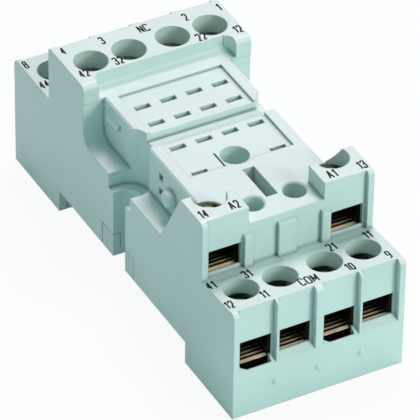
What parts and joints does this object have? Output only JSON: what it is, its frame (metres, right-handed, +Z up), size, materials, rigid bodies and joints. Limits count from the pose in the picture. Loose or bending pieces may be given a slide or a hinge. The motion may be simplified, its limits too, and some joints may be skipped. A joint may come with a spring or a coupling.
{
  "type": "relay socket",
  "caption": "Stepped screw-terminal relay socket with a blade-slot platform, side recesses for a clip and screws, and a sprung catch for a mounting rail.",
  "frame": {"origin": "middle of the underside of the feet", "axes": "+X across the width, +Y along the length towards the four-well tier end, +Z up out of the mounting rail"},
  "size_m": [0.0286, 0.072, 0.0291],
  "materials": {
    "housing_plastic": "matte",
    "cover_plastic": "matte",
    "latch_plastic": "matte",
    "spring_steel": "satin",
    "cage_steel": "satin",
    "plate_steel": "satin",
    "screw_steel": "satin",
    "contact_brass": "satin"
  },
  "bodies": {
    "housing": {"housing": "housing_plastic", "base_cover": "cover_plastic", "latch_spring": "spring_steel", "cage_front_lower_1": "cage_steel", "cage_front_lower_2": "cage_steel", "cage_front_lower_3": "cage_steel", "cage_front_lower_4": "cage_steel", "cage_front_upper_1": "cage_steel", "cage_front_upper_2": "cage_steel", "cage_back_upper_1": "cage_steel", "cage_back_upper_2": "cage_steel", "cage_back_upper_3": "cage_steel", "cage_back_upper_4": "cage_steel", "cage_back_lower_1": "cage_steel", "cage_back_lower_2": "cage_steel", "cage_back_lower_3": "cage_steel", "cage_back_lower_4": "cage_steel", "contact_front_lower_1": "contact_brass", "contact_front_lower_2": "contact_brass", "contact_front_lower_3": "contact_brass", "contact_front_lower_4": "contact_brass", "contact_front_upper_1": "contact_brass", "contact_front_upper_2": "contact_brass", "contact_back_upper_1": "contact_brass", "contact_back_upper_2": "contact_brass", "contact_back_upper_3": "contact_brass", "contact_back_upper_4": "contact_brass", "contact_back_lower_1": "contact_brass", "contact_back_lower_2": "contact_brass", "contact_back_lower_3": "contact_brass", "contact_back_lower_4": "contact_brass"},
    "rail_latch": {"rail_latch": "latch_plastic"},
    "plate_front_lower_1": {"plate_front_lower_1": "plate_steel"},
    "screw_front_lower_1": {"screw_front_lower_1": "screw_steel"},
    "plate_front_lower_2": {"plate_front_lower_2": "plate_steel"},
    "screw_front_lower_2": {"screw_front_lower_2": "screw_steel"},
    "plate_front_lower_3": {"plate_front_lower_3": "plate_steel"},
    "screw_front_lower_3": {"screw_front_lower_3": "screw_steel"},
    "plate_front_lower_4": {"plate_front_lower_4": "plate_steel"},
    "screw_front_lower_4": {"screw_front_lower_4": "screw_steel"},
    "plate_front_upper_1": {"plate_front_upper_1": "plate_steel"},
    "screw_front_upper_1": {"screw_front_upper_1": "screw_steel"},
    "plate_front_upper_2": {"plate_front_upper_2": "plate_steel"},
    "screw_front_upper_2": {"screw_front_upper_2": "screw_steel"},
    "plate_back_upper_1": {"plate_back_upper_1": "plate_steel"},
    "screw_back_upper_1": {"screw_back_upper_1": "screw_steel"},
    "plate_back_upper_2": {"plate_back_upper_2": "plate_steel"},
    "screw_back_upper_2": {"screw_back_upper_2": "screw_steel"},
    "plate_back_upper_3": {"plate_back_upper_3": "plate_steel"},
    "screw_back_upper_3": {"screw_back_upper_3": "screw_steel"},
    "plate_back_upper_4": {"plate_back_upper_4": "plate_steel"},
    "screw_back_upper_4": {"screw_back_upper_4": "screw_steel"},
    "plate_back_lower_1": {"plate_back_lower_1": "plate_steel"},
    "screw_back_lower_1": {"screw_back_lower_1": "screw_steel"},
    "plate_back_lower_2": {"plate_back_lower_2": "plate_steel"},
    "screw_back_lower_2": {"screw_back_lower_2": "screw_steel"},
    "plate_back_lower_3": {"plate_back_lower_3": "plate_steel"},
    "screw_back_lower_3": {"screw_back_lower_3": "screw_steel"},
    "plate_back_lower_4": {"plate_back_lower_4": "plate_steel"},
    "screw_back_lower_4": {"screw_back_lower_4": "screw_steel"}
  },
  "joints": [
    {"name": "latch_slide", "type": "slide", "parent": "housing", "child": "rail_latch", "axis": [0, 1, 0], "range_m": [0, 0.0024], "stiffness_N_per_m": 2700, "springref_m": -0.001, "deforming": ["latch_spring"]},
    {"name": "rise_front_lower_1", "type": "slide", "parent": "housing", "child": "plate_front_lower_1", "axis": [0, 0, 1], "range_m": [-0.0015, 0.0018]},
    {"name": "turn_front_lower_1", "type": "hinge", "parent": "plate_front_lower_1", "child": "screw_front_lower_1", "pos_m": [-0.01022, -0.0301, 0.0158], "axis": [0, 0, 1], "range_deg": [-901, 1081]},
    {"name": "rise_front_lower_2", "type": "slide", "parent": "housing", "child": "plate_front_lower_2", "axis": [0, 0, 1], "range_m": [-0.0015, 0.0018]},
    {"name": "turn_front_lower_2", "type": "hinge", "parent": "plate_front_lower_2", "child": "screw_front_lower_2", "pos_m": [-0.00372, -0.0301, 0.0158], "axis": [0, 0, 1], "range_deg": [-901, 1081]},
    {"name": "rise_front_lower_3", "type": "slide", "parent": "housing", "child": "plate_front_lower_3", "axis": [0, 0, 1], "range_m": [-0.0015, 0.0018]},
    {"name": "turn_front_lower_3", "type": "hinge", "parent": "plate_front_lower_3", "child": "screw_front_lower_3", "pos_m": [0.00372, -0.0301, 0.0158], "axis": [0, 0, 1], "range_deg": [-901, 1081]},
    {"name": "rise_front_lower_4", "type": "slide", "parent": "housing", "child": "plate_front_lower_4", "axis": [0, 0, 1], "range_m": [-0.0015, 0.0018]},
    {"name": "turn_front_lower_4", "type": "hinge", "parent": "plate_front_lower_4", "child": "screw_front_lower_4", "pos_m": [0.01022, -0.0301, 0.0158], "axis": [0, 0, 1], "range_deg": [-901, 1081]},
    {"name": "rise_front_upper_1", "type": "slide", "parent": "housing", "child": "plate_front_upper_1", "axis": [0, 0, 1], "range_m": [-0.0015, 0.0018]},
    {"name": "turn_front_upper_1", "type": "hinge", "parent": "plate_front_upper_1", "child": "screw_front_upper_1", "pos_m": [-0.01022, -0.02005, 0.0259], "axis": [0, 0, 1], "range_deg": [-901, 1081]},
    {"name": "rise_front_upper_2", "type": "slide", "parent": "housing", "child": "plate_front_upper_2", "axis": [0, 0, 1], "range_m": [-0.0015, 0.0018]},
    {"name": "turn_front_upper_2", "type": "hinge", "parent": "plate_front_upper_2", "child": "screw_front_upper_2", "pos_m": [0.01022, -0.02005, 0.0259], "axis": [0, 0, 1], "range_deg": [-901, 1081]},
    {"name": "rise_back_upper_1", "type": "slide", "parent": "housing", "child": "plate_back_upper_1", "axis": [0, 0, 1], "range_m": [-0.0015, 0.0018]},
    {"name": "turn_back_upper_1", "type": "hinge", "parent": "plate_back_upper_1", "child": "screw_back_upper_1", "pos_m": [-0.01022, 0.01775, 0.0259], "axis": [0, 0, 1], "range_deg": [-901, 1081]},
    {"name": "rise_back_upper_2", "type": "slide", "parent": "housing", "child": "plate_back_upper_2", "axis": [0, 0, 1], "range_m": [-0.0015, 0.0018]},
    {"name": "turn_back_upper_2", "type": "hinge", "parent": "plate_back_upper_2", "child": "screw_back_upper_2", "pos_m": [-0.00372, 0.01775, 0.0259], "axis": [0, 0, 1], "range_deg": [-901, 1081]},
    {"name": "rise_back_upper_3", "type": "slide", "parent": "housing", "child": "plate_back_upper_3", "axis": [0, 0, 1], "range_m": [-0.0015, 0.0018]},
    {"name": "turn_back_upper_3", "type": "hinge", "parent": "plate_back_upper_3", "child": "screw_back_upper_3", "pos_m": [0.00372, 0.01775, 0.0259], "axis": [0, 0, 1], "range_deg": [-901, 1081]},
    {"name": "rise_back_upper_4", "type": "slide", "parent": "housing", "child": "plate_back_upper_4", "axis": [0, 0, 1], "range_m": [-0.0015, 0.0018]},
    {"name": "turn_back_upper_4", "type": "hinge", "parent": "plate_back_upper_4", "child": "screw_back_upper_4", "pos_m": [0.01022, 0.01775, 0.0259], "axis": [0, 0, 1], "range_deg": [-901, 1081]},
    {"name": "rise_back_lower_1", "type": "slide", "parent": "housing", "child": "plate_back_lower_1", "axis": [0, 0, 1], "range_m": [-0.0015, 0.0018]},
    {"name": "turn_back_lower_1", "type": "hinge", "parent": "plate_back_lower_1", "child": "screw_back_lower_1", "pos_m": [-0.01022, 0.0301, 0.0158], "axis": [0, 0, 1], "range_deg": [-901, 1081]},
    {"name": "rise_back_lower_2", "type": "slide", "parent": "housing", "child": "plate_back_lower_2", "axis": [0, 0, 1], "range_m": [-0.0015, 0.0018]},
    {"name": "turn_back_lower_2", "type": "hinge", "parent": "plate_back_lower_2", "child": "screw_back_lower_2", "pos_m": [-0.00372, 0.0301, 0.0158], "axis": [0, 0, 1], "range_deg": [-901, 1081]},
    {"name": "rise_back_lower_3", "type": "slide", "parent": "housing", "child": "plate_back_lower_3", "axis": [0, 0, 1], "range_m": [-0.0015, 0.0018]},
    {"name": "turn_back_lower_3", "type": "hinge", "parent": "plate_back_lower_3", "child": "screw_back_lower_3", "pos_m": [0.00372, 0.0301, 0.0158], "axis": [0, 0, 1], "range_deg": [-901, 1081]},
    {"name": "rise_back_lower_4", "type": "slide", "parent": "housing", "child": "plate_back_lower_4", "axis": [0, 0, 1], "range_m": [-0.0015, 0.0018]},
    {"name": "turn_back_lower_4", "type": "hinge", "parent": "plate_back_lower_4", "child": "screw_back_lower_4", "pos_m": [0.01022, 0.0301, 0.0158], "axis": [0, 0, 1], "range_deg": [-901, 1081]}
  ],
  "couplings": [
    {"joint": "turn_front_lower_1", "follows": "rise_front_lower_1", "rad_per_m": 10472},
    {"joint": "turn_front_lower_2", "follows": "rise_front_lower_2", "rad_per_m": 10472},
    {"joint": "turn_front_lower_3", "follows": "rise_front_lower_3", "rad_per_m": 10472},
    {"joint": "turn_front_lower_4", "follows": "rise_front_lower_4", "rad_per_m": 10472},
    {"joint": "turn_front_upper_1", "follows": "rise_front_upper_1", "rad_per_m": 10472},
    {"joint": "turn_front_upper_2", "follows": "rise_front_upper_2", "rad_per_m": 10472},
    {"joint": "turn_back_upper_1", "follows": "rise_back_upper_1", "rad_per_m": 10472},
    {"joint": "turn_back_upper_2", "follows": "rise_back_upper_2", "rad_per_m": 10472},
    {"joint": "turn_back_upper_3", "follows": "rise_back_upper_3", "rad_per_m": 10472},
    {"joint": "turn_back_upper_4", "follows": "rise_back_upper_4", "rad_per_m": 10472},
    {"joint": "turn_back_lower_1", "follows": "rise_back_lower_1", "rad_per_m": 10472},
    {"joint": "turn_back_lower_2", "follows": "rise_back_lower_2", "rad_per_m": 10472},
    {"joint": "turn_back_lower_3", "follows": "rise_back_lower_3", "rad_per_m": 10472},
    {"joint": "turn_back_lower_4", "follows": "rise_back_lower_4", "rad_per_m": 10472}
  ]
}
